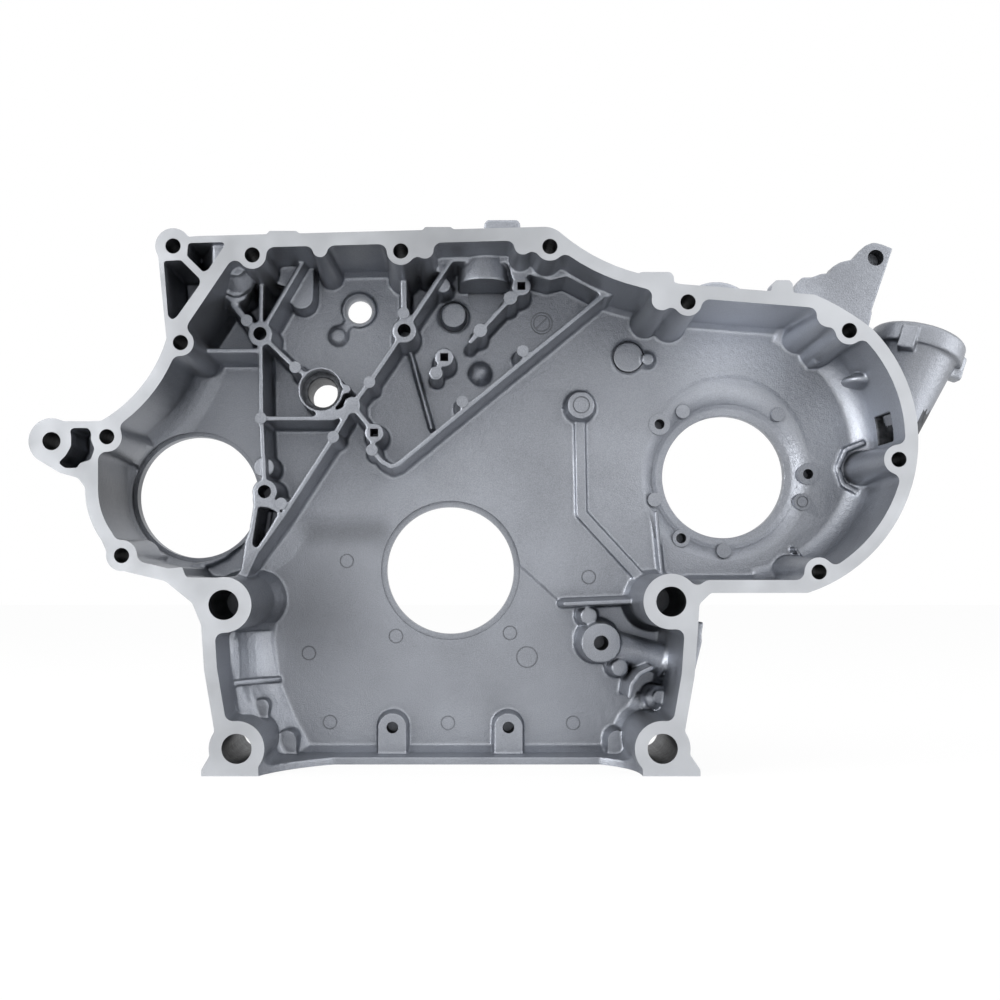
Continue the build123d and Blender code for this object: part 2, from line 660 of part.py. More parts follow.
def sump_opening():
    """The opening of the sump face between the feet, with its curved rail."""
    gasket = -SEAL_FACE
    rail_edge = gasket + SUMP_RAIL_DEPTH
    with BuildPart() as opening:
        with BuildSketch(Plane.XY.offset(SUMP_FACE - CUT)):
            with BuildLine():
                left = Spline((-FOOT_SIDE, gasket - CUT), (-96, gasket + 30), (-76, rail_edge))
                right = Spline((FOOT_SIDE, gasket - CUT), (113, gasket + 28), (98, rail_edge))
                Line(left @ 1, right @ 1)
                Line(left @ 0, right @ 0)
            make_face()
        extrude(amount=FLANGE + CUT + NOOK)
        with BuildSketch(level(-CUT)) as feet:
            discs(foot_bolts()[2:], FOOT_BOSS)
        grow(feet.sketch, 0, SUMP_RAIL_DEPTH + 2 * CUT, mode=Mode.SUBTRACT)
    return opening.part


def window():
    """The window through the wall of the right chamber into the filler neck."""
    near, far = WINDOW_DEPTHS
    start, end = WINDOW_REACH
    with BuildSketch(Plane.YZ.offset(start)) as opening:
        with Locations(((near + far) / 2 - SEAL_FACE, WINDOW_MIDDLE)):
            Rectangle(far - near, WINDOW_HEIGHT)
    extrude(opening.sketch, amount=end - start, mode=Mode.SUBTRACT)


with BuildPart() as timing_cover:
    with BuildSketch(level(0)):
        add(gasket_outline())
    extrude(amount=-FLANGE_DEPTH)
    add(walls())
    outside()
    bracket()
    add(filler_neck())
    add(chamber(), mode=Mode.SUBTRACT)
    bowl()
    inner_step()
    foot_slope()
    rib_network()
    floor_features()
    barrel()
    oil_pipe()
    add(neck_passage(), mode=Mode.SUBTRACT)
    hollows()
    seal_bores()
    holes()
    add(sump_opening(), mode=Mode.SUBTRACT)
    window()

timing_cover.part.label = "timing_cover"
export_step(timing_cover.part, "parts/timing_cover.step")
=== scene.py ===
"""Looks of the timing cover: its casting skin, machined faces, materials, light and camera.

Places are (x, z) pairs in millimetres from the crank's axis, x to the right and z up, and depths are
millimetres below the gasket face, as in the CAD source.
"""

import math

import bmesh
import bpy
import numpy as np
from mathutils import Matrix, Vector


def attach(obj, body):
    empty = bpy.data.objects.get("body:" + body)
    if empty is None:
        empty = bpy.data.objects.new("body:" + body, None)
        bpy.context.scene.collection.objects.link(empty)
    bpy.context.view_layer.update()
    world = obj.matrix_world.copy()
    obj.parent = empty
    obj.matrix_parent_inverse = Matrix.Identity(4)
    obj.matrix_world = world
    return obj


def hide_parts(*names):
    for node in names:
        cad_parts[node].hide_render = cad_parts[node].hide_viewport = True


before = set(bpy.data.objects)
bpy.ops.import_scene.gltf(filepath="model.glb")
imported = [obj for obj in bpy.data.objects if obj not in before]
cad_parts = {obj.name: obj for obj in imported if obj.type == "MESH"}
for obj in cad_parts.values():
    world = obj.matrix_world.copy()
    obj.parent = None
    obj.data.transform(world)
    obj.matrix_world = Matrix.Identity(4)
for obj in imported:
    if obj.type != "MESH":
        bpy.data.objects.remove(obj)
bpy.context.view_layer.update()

# The gasket face lies SEAL_FACE in front of the frame's origin; the floor, its higher level and the tops of
# the ribs are depths, and the sump face is a z
MM = 0.001
SEAL_FACE = 80.0
FLOOR = 70.0
UPPER_FLOOR = 67.8
RIBS = 33.0
SUMP_FACE = -127.1

# A rectangle well outside the casting, a depth in front of it and one behind it
LEFT, RIGHT, LOW, HIGH = -400, 500, -300, 400
AHEAD = -10
BEYOND = 100

# Sides of a small, a middling and a large round form
SIDES = 48
MORE_SIDES = 64
MOST_SIDES = 128

# Skin of the casting: the grid that it is rebuilt on, rounds of smoothing, the triangles that are kept,
# the stock that is left on faces to be milled, and the angle in degrees at which an edge stays sharp
GRID = 0.8
ROUNDING = 7
TRIANGLES = 185000
STOCK = 3.0
SHARP = 38

# Camera, from the photograph's own frame
EYE = (6.4, -3.1)
EYE_DISTANCE = 708.0
FRAME_WIDTH = 616.0
SENSOR = 36.0
SHIFT = (0.04, 0.075)

# Shaft bores: place and radius, of two of them also the plug that fills them at first and the recess round
# them, and the depth of that recess
CRANK = (0.0, 0.0)
IDLER = (-171.0, 49.6)
PUMP = (185.8, 63.6)
BORES = [(CRANK, 43.2), (IDLER, 41.2), (PUMP, 41.6)]
BORE_PLUGS = [(CRANK, 50), (IDLER, 45.2)]
RECESSES = [(CRANK, 47), (IDLER, 44)]
RECESS_FLOOR = 71.2

# The funnel of the pump bore as radius and depth, the eyebrow over it, and the pads at its edge, of which
# one has a thin ring
FUNNEL = [(64, 64), (64, 66.6), (60, 67.2), (56.5, 68.1), (53.5, 69.4), (51, 71), (47.2, 74), (45.2, 75.1)]
PUMP_EYEBROW = (186.5, 77.5)
RINGED_PAD = (237.2, 46.3)
PUMP_PADS = [((156.7, 107.3), 4.6), ((221.0, 105.2), 4.6), ((137.7, 47.7), 4.6), (RINGED_PAD, 5.6),
             ((184.4, 13.2), 4.8)]

# Tapped holes with the radius of their pads, and the hole's radius, start and end
TAPPED = [((141.0, 98.6), 7.2), ((155.6, 21.7), 5.8), ((241.2, 65.0), 7.2)]
TAP = (3.4, 60, 79.5)

# Radius of the bolt holes, and the gasket bolts and half-round lobes: place and radius of the boss
BOLT_HOLE = 4.7
BOLTS = [((-170.4, 199.6), 11.0), ((-121.6, 194.1), 8.6), ((-30.1, 196.5), 8.6), ((61.8, 199.3), 8.8),
         ((146.9, 165.1), 8.6), ((246.3, 147.5), 8.6), ((276.8, 68.1), 9.2), ((227.6, -1.2), 9.0),
         ((-165.8, 140.1), 8.2), ((-211.2, 82.1), 9.3), ((-202.1, 8.9), 9.6)]
LOBES = [((-79.8, 197.1), 4.3), ((-15.2, 197.1), 5.2), ((45.2, 199.6), 5.2), ((130.8, 166.3), 6.2),
         ((233.7, 157.1), 7.4)]

# Middles of round forms: the four hubs of the ribs, the upper boss of the left foot, the end of the cross
# gallery, three bosses on the floor, the date insert, and the bosses that run down to the sump face, two
# with a tapped hole and two near the feet
HUB = (-122.6, 152.6)
MIDDLE = (-29.6, 154.6)
LOWER = (-119.7, 50.7)
NODE = (-63.3, 106.6)
LEFT_FOOT = (-139.3, -21.5)
GALLERY = (98.8, -47.6)
RINGED_BOSS = (86.9, 109.8)
TOP_BOSS = (2.1, 170.5)
LONE_BOSS = (119.6, 143.4)
DATE = (61.5, 166.7)
RAIL_HOLES = [(-38.6, -104.5), (38.6, -104.5)]
RAIL_LUGS = [(-108.9, -112.8), (111, -112.8)]

# Other round holes: place, radius, depth of the face that they start in, depth of their end
HOLES = [((-245.3, 79.4), 5.6, 0, 90), ((-131.3, -110.2), 9.3, 0, 90), ((131.3, -110.2), 9.3, 0, 90),
         (LEFT_FOOT, 9.3, 0, 58), ((136.6, -19.5), 9.3, 0, 58), ((267.9, 196.5), 5.0, 15, 25)]
HOLES += [(place, 4.3, 33, 58) for place in (HUB, MIDDLE, LOWER)]
HOLES += [(GALLERY, 4.9, 44, 68)]
HOLES += [(place, 3.9, 56, 70) for place in RAIL_HOLES]

# Plugs that fill the holes at first are this much larger
PLUG_MARGIN = 1

# The ring boss: its middle, the radius of its hole and of its wider mouth, and the depth of that mouth
RING = (-83.5, 116.5)
RING_HOLE = 9.65
RING_MOUTH = 13.2
MOUTH_FLOOR = 45

# The stepped hole in the floor as radius and depth, and the pad beside it
FLOOR_HOLE = (-61.5, 175.3)
FLOOR_STEPS = [(11, 63), (9.8, 65.8), (8.4, 68.6), (8.2, 70), (8.2, 90)]
FLOOR_PAD = (-75.4, 157.9)

# Square sockets: their places and half their width
SQUARES = [(-3.8, 137.4), (46.0, 183.3), (-49.0, 88.7)]
SOCKET = 2.6

# The passage of the window in the right wall, painted dark as shade: where it starts in x, its middle in z,
# half its height, and its range of depth
WINDOW_SHADE = (273.5, 91.0, 9.3)
WINDOW_SHADE_DEPTHS = (19, 47)

# Ribs of the left chamber: their lines and the width of their top, and the ledge along the top wall
RIB_LINES = [
    ([(-121.6, 190), HUB, (-122, 98), LOWER], 3.0),
    ([(-30.1, 192), (-29.9, 165.7)], 4.0),
    ([(-160, 141.7), (-122.6, 141.7)], 3.0),
    ([(-95.2, 199.5), HUB, (-99.8, 130.8), (-94, 126.5)], 3.0),
    ([(-122, 97.9), (-84, 97.9)], 3.0),
    ([(-139.9, 171.4), (-131, 160.9)], 4.2),
    ([(-84, 99.5), (-76, 99.5), (-69, 102), NODE], 6.0),
    ([MIDDLE, (-52, 121.2), NODE, (-75.3, 85.9), (-107.5, 36), (-135.5, -3)], 3.2),
    ([NODE, (-49, 88.7), (-50.4, 77.5)], 3.2),
    ([(-50.4, 77.5), (-44, 70), (-38, 66.8), (-33.4, 68.6), (97.5, 176.3)], 3.2),
    ([MIDDLE, (2.3, 203)], 3.2),
    ([(-9.2, 127.2), (-3.8, 137.4)], 3.0),
    ([(46, 183.3), (38.9, 175.4), (13.1, 147.6)], 3.0),
]
LEDGE = [(-9, 196), (-7.3, 201.6), (4, 202.6), (37, 201.8), (41, 197.6), (43, 190), (51.5, 194.8),
         (55.4, 192.9), (64.4, 190.3), (72.2, 192.3), (76, 192.9), (101.8, 179.4)]

# Low ribs on the floor: line, width at the top and at the foot, and depth of the top and the foot
FLOOR_RIBS = [
    ([RINGED_BOSS, (88.2, 38), (131, -8.5)], (6.6, 9.6), (UPPER_FLOOR - 3, FLOOR)),
    ([(75.4, -22.1), (124, -20.1)], (3, 6.5), (45, FLOOR)),
    ([(-27.3, 147.8), (-12.5, 94.8)], (2, 4.4), (60, FLOOR)),
    ([(-138.4, 27.2), (-143.8, 17.1), (-151.8, 9.7), (-161.9, 5), (-174.1, 2.3)], (2.5, 6), (64.5, 72)),
    ([(138, 38.7), (140, 15), (142, -4.5)], (1.6, 7), (62, FLOOR)),
]

# How much wider than its top a form is at the floor, and a fillet at its start and end
RIB_DRAFT = 2.6
RIB_ROOT = (2.2, 6)
BOSS_DRAFT = 1.5
BOSS_ROOT = (0.9, 2.9)
LOBE_DRAFT = 3.4
BOLT_DRAFT = (-0.3, 2.4)
ROOT_DEPTHS = (UPPER_FLOOR - 3, UPPER_FLOOR + 0.4)

# Round bosses: place, radius and depth of the top; the pads on the ribs have a crisp edge
BOSSES = [(HUB, 8.0, 33), (MIDDLE, 8.0, 33), (LOWER, 8.0, 33), (NODE, 5.5, 33)]
BOSSES += [(place, 6.2, 33) for place in SQUARES]
RIB_PADS = [((-131, 160.9), 3.7), ((-99.8, 130.8), 3.7), ((-122, 98), 3.7), ((-75.3, 85.9), 3.7),
            ((-108.9, 43), 3.7), ((-30, 165.7), 3.7), ((-52, 121.2), 3.7), ((-50.4, 77.5), 3.7),
            ((7.8, 108.7), 3.7), ((46.9, 141.3), 3.7), ((-9.2, 127.2), 3.0), ((19.5, 154.6), 4.2),
            ((38.9, 175.4), 4.2)]
BOSSES += [(place, radius, 33.4) for place, radius in RIB_PADS]
BOSSES += [((91.5, -30.1), 5.6, 50), ((111.9, -64.4), 5.6, 50), (GALLERY, 13.1, 44),
           (RINGED_BOSS, 9.1, 55), (TOP_BOSS, 8.3, 59), ((-4.7, 187.0), 5.0, 45),
           ((-121.8, 67.4), 6.8, 42), (LONE_BOSS, 9.0, 65.4), ((132.3, 141.4), 4.0, 61)]

# The higher part of the floor: the edge that a slope leads down from, the foot of that slope, and the rest
# of the outline
STEP_TOP = [(-127, -2), (-108, 30), (-97, 33.7), (-36, 33.7), (30, 20), (48.4, 3), (76.1, -22.1),
            (124, -20.1)]
STEP_FOOT = [(-124.6, -5.4), (-99, 14), (-95, 21), (-37, 21), (30, 10), (46.8, 1.3), (74.5, -23.7),
             (124, -22)]
STEP_BACK = [(150, -12), (170, -7), (219, -7), (248, 14), (272, 40), (281, 79), (272, 119), (250, 146),
             (222, 160), (146, 166), (110, 178), (60, 202), (-117, 201), (-117, 60)]

# Ejector marks and other thin rings on the two levels of the floor: place and radius, and the rings' width
# and depth
MARKS = [((-95.8, -55.9), 5.0), ((-81.6, -102.6), 5.0), ((-36.9, -44.4), 5.0), ((40.2, -42.3), 5.0),
         ((51.7, -58.6), 7.4), ((-1.7, -103.2), 5.0), ((82.9, -103.2), 5.0), ((-70.1, 6.4), 4.9)]
UPPER_MARKS = [((93.2, -4.5), 5.0), (DATE, 7.6), (DATE, 5.9), (LONE_BOSS, 10.6), (TOP_BOSS, 10.2)]
RING_WIDTH = 0.9
RING_DEPTH = 0.8

# The wall that bulges in at the waist: its axis, its radius, and the fillet between it and the floor,
# which starts at the depth WAIST_TOP and is made in these steps
WAIST = (-258.8, 168.2)
WAIST_RADIUS = 93.5
WAIST_FILLET = 24
WAIST_TOP = 47
WAIST_DEPTHS = [48, 52, 56, 60, 64, 67, 70.3]

# The hollow fillet along the wall of the left foot as x and depth; the slope that it fades into, as x for
# each depth and x at no depth; and levels in z with the share of the slope there
FOOT_CURVE = [(-140.8, 36), (-140.6, 42), (-138.2, 49), (-135, 55), (-131.2, 60), (-126.6, 64.2),
              (-121.4, 67.2), (-115.5, 69.2), (-108, 69.9), (-92, 69.9), (-92, 36)]
FOOT_SLOPE = (1.16, -185)
FOOT_LEVELS = [(-40, 0.0), (-73, 0.15), (-98, 1.0)]

# Circles of forms that lean, as place, radius and depth: the flare round the upper boss of the left foot,
# and the two swellings in the corner at the top left
FLARE = [(LEFT_FOOT, 16.8, 4), ((-134.5, -20.2), 17.4, 56), ((-131, -19.4), 19.0, 65),
         ((-130.8, -19.4), 20.4, FLOOR)]
UPPER_SWELLING = [((-135.6, 190.4), 3.6, 14), ((-135, 187.4), 9.8, 27), ((-136, 186.2), 10.2, 34)]
LOWER_SWELLING = [((-138, 181.4), 8.6, 32), ((-139.6, 178.2), 9.6, 44), ((-141, 175.6), 5, 54)]

# The raised edge round the boss in the right wall of the pump chamber: corners as x, depth, z
COLLAR = [(276.5, 58, 85.4), (265.4, 62, 81.1), (260.6, 65, 68.8), (264.3, 64, 57.8), (274.3, 60, 51.2)]

# Colour of the skin, of the milled faces and of the drilled walls, whose dark tone is painted shade, and the
# material slot of each
CAST_TONE = (0.240, 0.252, 0.278)
MILLED_TONE = (0.470, 0.485, 0.510)
HOLE_SHADE_TONE = (0.065, 0.068, 0.074)
CAST, MILLED, HOLE_SHADE = 0, 1, 2

# Broad spots of painted light and shade on the skin, and on the milled faces: x, z, reach and share of the
# tone that is left, above one a painted light and below one a painted shade
SKIN_LIGHT_AND_SHADE = [(-98, -32, 62, 0.64), (-92, 27, 16, 0.66), (-78, 27, 16, 0.68), (-64, 27, 16, 0.68),
          (-50, 27, 16, 0.68), (190, 148, 66, 1.85), (121, 76, 60, 1.12), (0, 61, 60, 1.16),
          (-129, -58, 27, 1.45), (261, 100, 48, 1.4), (-214, 49, 42, 0.40), (-182, 103, 42, 0.82),
          (-60, -116, 46, 1.25), (0, -116, 46, 1.3), (60, -116, 46, 1.25), (250, 190, 40, 0.88),
          (300, 150, 40, 0.86), (-23, 108, 45, 0.85), (145, -62, 26, 1.35)]
FACE_LIGHT_AND_SHADE = [(-145, -75, 60, 0.84), (-131, -110, 50, 0.85), (0, 205, 90, 0.70), (-240, 66, 60, 0.9),
               (190, -12, 70, 1.08), (-110, 205, 80, 0.9), (175, 170, 70, 0.88)]

# The floor's share of plain white in the picture, and half its side in metres
FLOOR_WHITE = 0.93
FLOOR_REACH = 4

# Level of the light from all round, the place that the lamps point at in metres, and the lamps: turn
# clockwise from the top and angle off the camera's axis in degrees, distance, size in metres, and watts
AMBIENT = 0.8
LAMP_AIM = Vector((0.03, -0.05, 0.04))
LAMPS = [(270, 72, 1.3, 0.9, 26.0), (315, 72, 1.3, 0.9, 4.2), (0, 72, 1.3, 0.9, 3.8),
         (45, 72, 1.3, 0.9, 2.8), (90, 72, 1.3, 0.9, 8.0), (45, 38, 1.5, 0.7, 1.1)]


def point(x, depth, z):
    """A place in metres from millimetres and a depth below the gasket face."""
    return Vector((x, depth - SEAL_FACE, z)) * MM


def mesh_object(name, build):
    """A new object whose mesh is made by build(bm)."""
    bm = bmesh.new()
    build(bm)
    bmesh.ops.recalc_face_normals(bm, faces=bm.faces)
    mesh = bpy.data.meshes.new(name)
    bm.to_mesh(mesh)
    bm.free()
    made = bpy.data.objects.new(name, mesh)
    bpy.context.scene.collection.objects.link(made)
    return made


def bands(bm, rings):
    """Four-sided faces from each ring of corners to the next."""
    for one, two in zip(rings, rings[1:]):
        for i, corner in enumerate(one):
            j = (i + 1) % len(one)
            bm.faces.new((corner, two[i], two[j], one[j]))


def solid(bm, rings):
    """A closed solid through rings of corners, with a flat face at each end."""
    bm.faces.new(rings[0])
    bm.faces.new(rings[-1][::-1])
    bands(bm, rings)


def slab(bm, near_points, far_points, near, far):
    """A closed solid between a shape at one depth and a shape with as many corners at another."""
    front = [bm.verts.new(point(x, near, z)) for x, z in near_points]
    back = [bm.verts.new(point(x, far, z)) for x, z in far_points]
    solid(bm, [front, back])


def prism(bm, points, near, far):
    """A closed solid with straight sides between two depths."""
    slab(bm, points, points, near, far)


def ring_points(place, radius, sides=SIDES):
    """Points round a circle."""
    turns = [2 * math.pi * i / sides for i in range(sides)]
    return [(place[0] + radius * math.cos(t), place[1] + radius * math.sin(t)) for t in turns]


def bar_points(start, end, width, sides=10):
    """Points round a bar with round ends."""
    turn = math.atan2(end[1] - start[1], end[0] - start[0])
    points = []
    for place, first in ((end, turn - math.pi / 2), (start, turn + math.pi / 2)):
        for i in range(sides + 1):
            t = first + math.pi * i / sides
            points.append((place[0] + width / 2 * math.cos(t), place[1] + width / 2 * math.sin(t)))
    return points


def disc(bm, place, radius, near, far, sides=SIDES):
    """A round boss or plug between two depths."""
    prism(bm, ring_points(place, radius, sides), near, far)


def cone(bm, place, near_radius, far_radius, near, far, sides=SIDES):
    """A round boss or cut that changes width between two depths."""
    slab(bm, ring_points(place, near_radius, sides), ring_points(place, far_radius, sides), near, far)


def ridges(bm, line, widths, depths):
    """Bars with slanted sides from each point of a line to the next."""
    for start, end in zip(line, line[1:]):
        slab(bm, bar_points(start, end, widths[0]), bar_points(start, end, widths[1]), *depths)


def turned_rings(bm, place, profile, sides):
    """A ring of corners for each radius and depth of a profile."""
    return [[bm.verts.new(point(x, depth, z)) for x, z in ring_points(place, radius, sides)]
            for radius, depth in profile]


def lathe(bm, place, profile, sides=MOST_SIDES):
    """A turned solid; its profile is a list of radius and depth."""
    solid(bm, turned_rings(bm, place, profile, sides))


def groove(bm, place, radius, near, far):
    """A thin ring between two depths."""
    inner = radius - RING_WIDTH
    rings = turned_rings(bm, place, [(radius, near), (radius, far), (inner, far), (inner, near)], MORE_SIDES)
    bands(bm, rings + rings[:1])


def loft(bm, circles):
    """A round form that leans: a slab from each circle, given as place, radius and depth, to the next."""
    for (place, radius, near), (next_place, next_radius, far) in zip(circles, circles[1:]):
        slab(bm, ring_points(place, radius), ring_points(next_place, next_radius), near, far)


def beam(bm, start, end, width, height):
    """A straight bar between two places given as x, depth, z, whose near face lies on them."""
    draft = 0.06
    along = (point(*end) - point(*start)).normalized()
    side = along.cross(Vector((0, 1, 0))).normalized() * width / 2 * MM
    down = Vector((0, height * MM, 0))
    ends = [point(*start), point(*end)]
    middle = (ends[0] + ends[1]) / 2
    near = [bm.verts.new(p) for p in (ends[0] - side, ends[0] + side, ends[1] + side, ends[1] - side)]
    far = [bm.verts.new(v.co + down + (v.co - middle) * draft) for v in near]
    solid(bm, [near, far])


def wall_disc(bm, place, facing, radius, thickness):
    """A round pad on a wall; place is x, depth, z, and facing is the way that it looks."""
    made = bmesh.ops.create_cone(bm, cap_ends=True, segments=SIDES, radius1=radius * MM, radius2=radius * MM,
                                 depth=thickness * MM)
    turn = Vector(facing).normalized().to_track_quat("Z", "Y")
    for vert in made["verts"]:
        vert.co = point(*place) + turn @ vert.co


def lump(bm, place, radii):
    """A smooth egg-shaped swelling; place is x, depth, z."""
    made = bmesh.ops.create_icosphere(bm, subdivisions=4, radius=1.0)
    for vert in made["verts"]:
        vert.co = point(*place) + Vector([r * MM * c for r, c in zip(radii, vert.co)])


def apply(obj, kind, **settings):
    """Adds a modifier and applies it at once."""
    modifier = obj.modifiers.new(kind.lower(), kind)
    for key, value in settings.items():
        setattr(modifier, key, value)
    bpy.context.view_layer.objects.active = obj
    bpy.ops.object.modifier_apply(modifier=modifier.name)


def cut(obj, build, operation="DIFFERENCE"):
    """Machines the solid that build(bm) makes out of the object, or welds it on."""
    tool = mesh_object("tool", build)
    apply(obj, "BOOLEAN", operation=operation, solver="MANIFOLD", object=tool)
    bpy.data.objects.remove(tool)


def casting_blank():
    """A copy of the CAD casting, welded, with stock left on the gasket face and the sump face."""
    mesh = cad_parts["timing_cover"].data.copy()
    blank = bpy.data.objects.new("casting", mesh)
    bpy.context.scene.collection.objects.link(blank)
    bm = bmesh.new()
    bm.from_mesh(mesh)
    bmesh.ops.remove_doubles(bm, verts=bm.verts, dist=1e-6)
    gasket = -SEAL_FACE * MM
    for vert in bm.verts:
        if abs(vert.co.y - gasket) < 1e-5:
            vert.co.y -= STOCK * MM
        if abs(vert.co.z - SUMP_FACE * MM) < 1e-5:
            vert.co.z -= STOCK * MM
    bm.to_mesh(mesh)
    bm.free()
    mesh.materials.clear()
    return blank


def plugs(bm):
    """Metal in every hole, which is machined after the skin."""
    for place, radius in BORE_PLUGS:
        disc(bm, place, radius, FLOOR, SEAL_FACE, 96)
    for place, _ in BOLTS:
        disc(bm, place, BOLT_HOLE + PLUG_MARGIN, -STOCK, 73.5)
    for place, radius, near, far in HOLES:
        start = -STOCK if near == 0 else near
        disc(bm, place, radius + PLUG_MARGIN, start, min(far + PLUG_MARGIN, 62))
    for place in SQUARES:
        disc(bm, place, 4.5, RIBS, 50)
    disc(bm, FLOOR_HOLE, 10, 65.6, 76)


def rib_details(bm):
    """Draft and root fillets of the ribs and bosses, and the ledge along the top wall."""
    for line, width in RIB_LINES:
        ridges(bm, line, (width, width + RIB_DRAFT), (RIBS, FLOOR))
        ridges(bm, line, (width + RIB_ROOT[0], width + RIB_ROOT[1]), ROOT_DEPTHS)
    for place, radius, depth in BOSSES:
        cone(bm, place, radius, radius + BOSS_DRAFT, depth, FLOOR)
        cone(bm, place, radius + BOSS_ROOT[0], radius + BOSS_ROOT[1], *ROOT_DEPTHS)
    ridges(bm, LEDGE, (6.8, 7.6), (RIBS, FLOOR))
    for place, radius in LOBES:
        cone(bm, place, radius, radius + LOBE_DRAFT, -STOCK, 68)
    for place, radius in BOLTS[1:]:
        cone(bm, place, radius + BOLT_DRAFT[0], radius + BOLT_DRAFT[1], 4, 68)
    ridges(bm, [(-98.5, 180.3), (-98, 200)], (15.9, 19), (50, FLOOR))


def corner_details(bm):
    """The swellings in the corner at the top left, and the buttress on the top wall beside it."""
    loft(bm, UPPER_SWELLING)
    loft(bm, LOWER_SWELLING)
    slab(bm, [(-147, 204), (-137, 204), (-137, 200), (-143.5, 189.5), (-147, 183.5)],
         [(-160, 204), (-137, 204), (-137, 200), (-148, 181.7), (-160, 181.7)], 5, 34)
    slab(bm, [(-113, 203), (-113, 187), (-106, 185), (-98, 203)],
         [(-115, 203), (-115, 184), (-103, 181), (-95, 203)], 44, FLOOR)


def floor_details(bm):
    """The step of the floor, the eyebrow over the pump bore, rings, pads and swellings."""
    slab(bm, STEP_TOP + STEP_BACK, STEP_FOOT + STEP_BACK, UPPER_FLOOR, 70.6)
    cone(bm, PUMP_EYEBROW, 52.8, 53.6, UPPER_FLOOR - 0.5, FLOOR, MOST_SIDES)
    cone(bm, FLOOR_HOLE, 11.4, 12.6, 65.6, FLOOR)
    cone(bm, FLOOR_PAD, 6.4, 7.4, 65.8, FLOOR)
    cone(bm, FLOOR_PAD, 4.5, 5, 64.2, FLOOR)
    ridges(bm, [FLOOR_HOLE, FLOOR_PAD], (6, 7.2), (65.8, FLOOR))
    for line, widths, depths in FLOOR_RIBS:
        ridges(bm, line, widths, depths)
    lump(bm, (20, 69.5, 132.4), (8.2, 9, 8.2))
    lump(bm, (269, 46, 124), (12, 14, 4.6))
    for place in RAIL_HOLES:
        ridges(bm, [place, (place[0], SUMP_FACE)], (19.2, 21.4), (60, 70.6))
    for place in RAIL_LUGS:
        ridges(bm, [place, (place[0], SUMP_FACE)], (13, 17), (60, 70.6))


def waist_arc(radius, turns):
    """Points on an arc round the axis of the wall at the waist."""
    return [(WAIST[0] + radius * math.cos(t), WAIST[1] + radius * math.sin(t)) for t in turns]


def waist_fillet(bm):
    """The wide hollow fillet between the floor and the wall that bulges in at the waist."""
    turns = [math.radians(-62 + 47 * i / 24) for i in range(25)]
    for near, far in zip(WAIST_DEPTHS, WAIST_DEPTHS[1:]):
        shapes = []
        for depth in (near, far):
            hollow = math.sqrt(max(0.0, WAIST_FILLET ** 2 - (depth - WAIST_TOP) ** 2))
            reach = WAIST_RADIUS + WAIST_FILLET - hollow
            shapes.append(waist_arc(reach, turns) + waist_arc(WAIST_RADIUS - 3.5, turns[::-1]))
        slab(bm, *shapes, near, far)


def foot_hollow(bm):
    """What is cut away to leave a hollow fillet along the wall of the left foot; it fades out below."""
    sections = []
    for z, share in FOOT_LEVELS:
        section = []
        for x, depth in FOOT_CURVE:
            sloped = max(x, FOOT_SLOPE[0] * depth + FOOT_SLOPE[1])
            section.append(bm.verts.new(point(x + share * (sloped - x), depth, z)))
        sections.append(section)
    solid(bm, sections)


def foot_flare(bm):
    """The flare round the upper boss of the left foot."""
    loft(bm, FLARE)


def foot_details(bm):
    """Fins, pads and flares by the two feet, and the collar and fins in the pump chamber."""
    beam(bm, (-150, 36, -77.6), (-139.3, 41.5, -73.6), 3.2, 8)
    beam(bm, (-140, 41, -73.6), (-114.5, 67.5, -73.6), 3.2, 8)
    ridges(bm, [(-124.8, -90), (-126, -99)], (10, 12), (51.5, FLOOR))
    slab(bm, [(134, -84), (124, -97), (119, -112), (150, -112), (150, -84)],
         [(125.6, -82), (115, -97), (110.5, -112), (150, -112), (150, -82)], 60, 70.6)
    lump(bm, (136.1, 50, -83.7), (8.2, 5, 8.2))
    disc(bm, (137.2, -83), 4.6, 43.6, 60)
    for start, end in zip(COLLAR, COLLAR[1:]):
        beam(bm, start, end, 3.2, 9)
    ridges(bm, [(230.2, 14.1), (234.7, 8)], (1.8, 3.4), (57, FLOOR))
    ridges(bm, [(223.5, 6.9), (220.8, -2)], (1.8, 3.4), (60, FLOOR))
    wall_disc(bm, (142, 60, -59.4), (49.2, 0, -13.4), 12.2, 1.8)


def cast_details(bm):
    """All that is added to the casting before its skin is made."""
    for build in (plugs, rib_details, corner_details, floor_details, waist_fillet, foot_flare,
                  foot_details):
        build(bm)


def rough_out(casting):
    """Rebuilds the casting as one soft-edged skin."""
    cut(casting, foot_hollow)
    details = mesh_object("details", cast_details)
    bpy.ops.object.select_all(action="DESELECT")
    details.select_set(True)
    casting.select_set(True)
    bpy.context.view_layer.objects.active = casting
    bpy.ops.object.join()
    apply(casting, "REMESH", mode="VOXEL", voxel_size=GRID * MM)
    apply(casting, "SMOOTH", factor=0.5, iterations=ROUNDING)
    apply(casting, "DECIMATE", ratio=TRIANGLES / (2 * len(casting.data.polygons)))


def gasket_plane(bm):
    """Everything nearer than the gasket face."""
    prism(bm, [(LEFT, LOW), (RIGHT, LOW), (RIGHT, HIGH), (LEFT, HIGH)], -20, 0)


def sump_plane(bm):
    """Everything under the sump face."""
    prism(bm, [(LEFT, LOW), (RIGHT, LOW), (RIGHT, SUMP_FACE), (LEFT, SUMP_FACE)], -10, 200)


def bores(bm):
    """The shaft bores."""
    for place, radius in BORES:
        disc(bm, place, radius, 50, BEYOND, MOST_SIDES)


def recesses(bm):
    """The machined recesses round two bores and the funnel round the third."""
    for place, radius in RECESSES:
        disc(bm, place, radius, 50, RECESS_FLOOR, MOST_SIDES)
    lathe(bm, PUMP, FUNNEL)


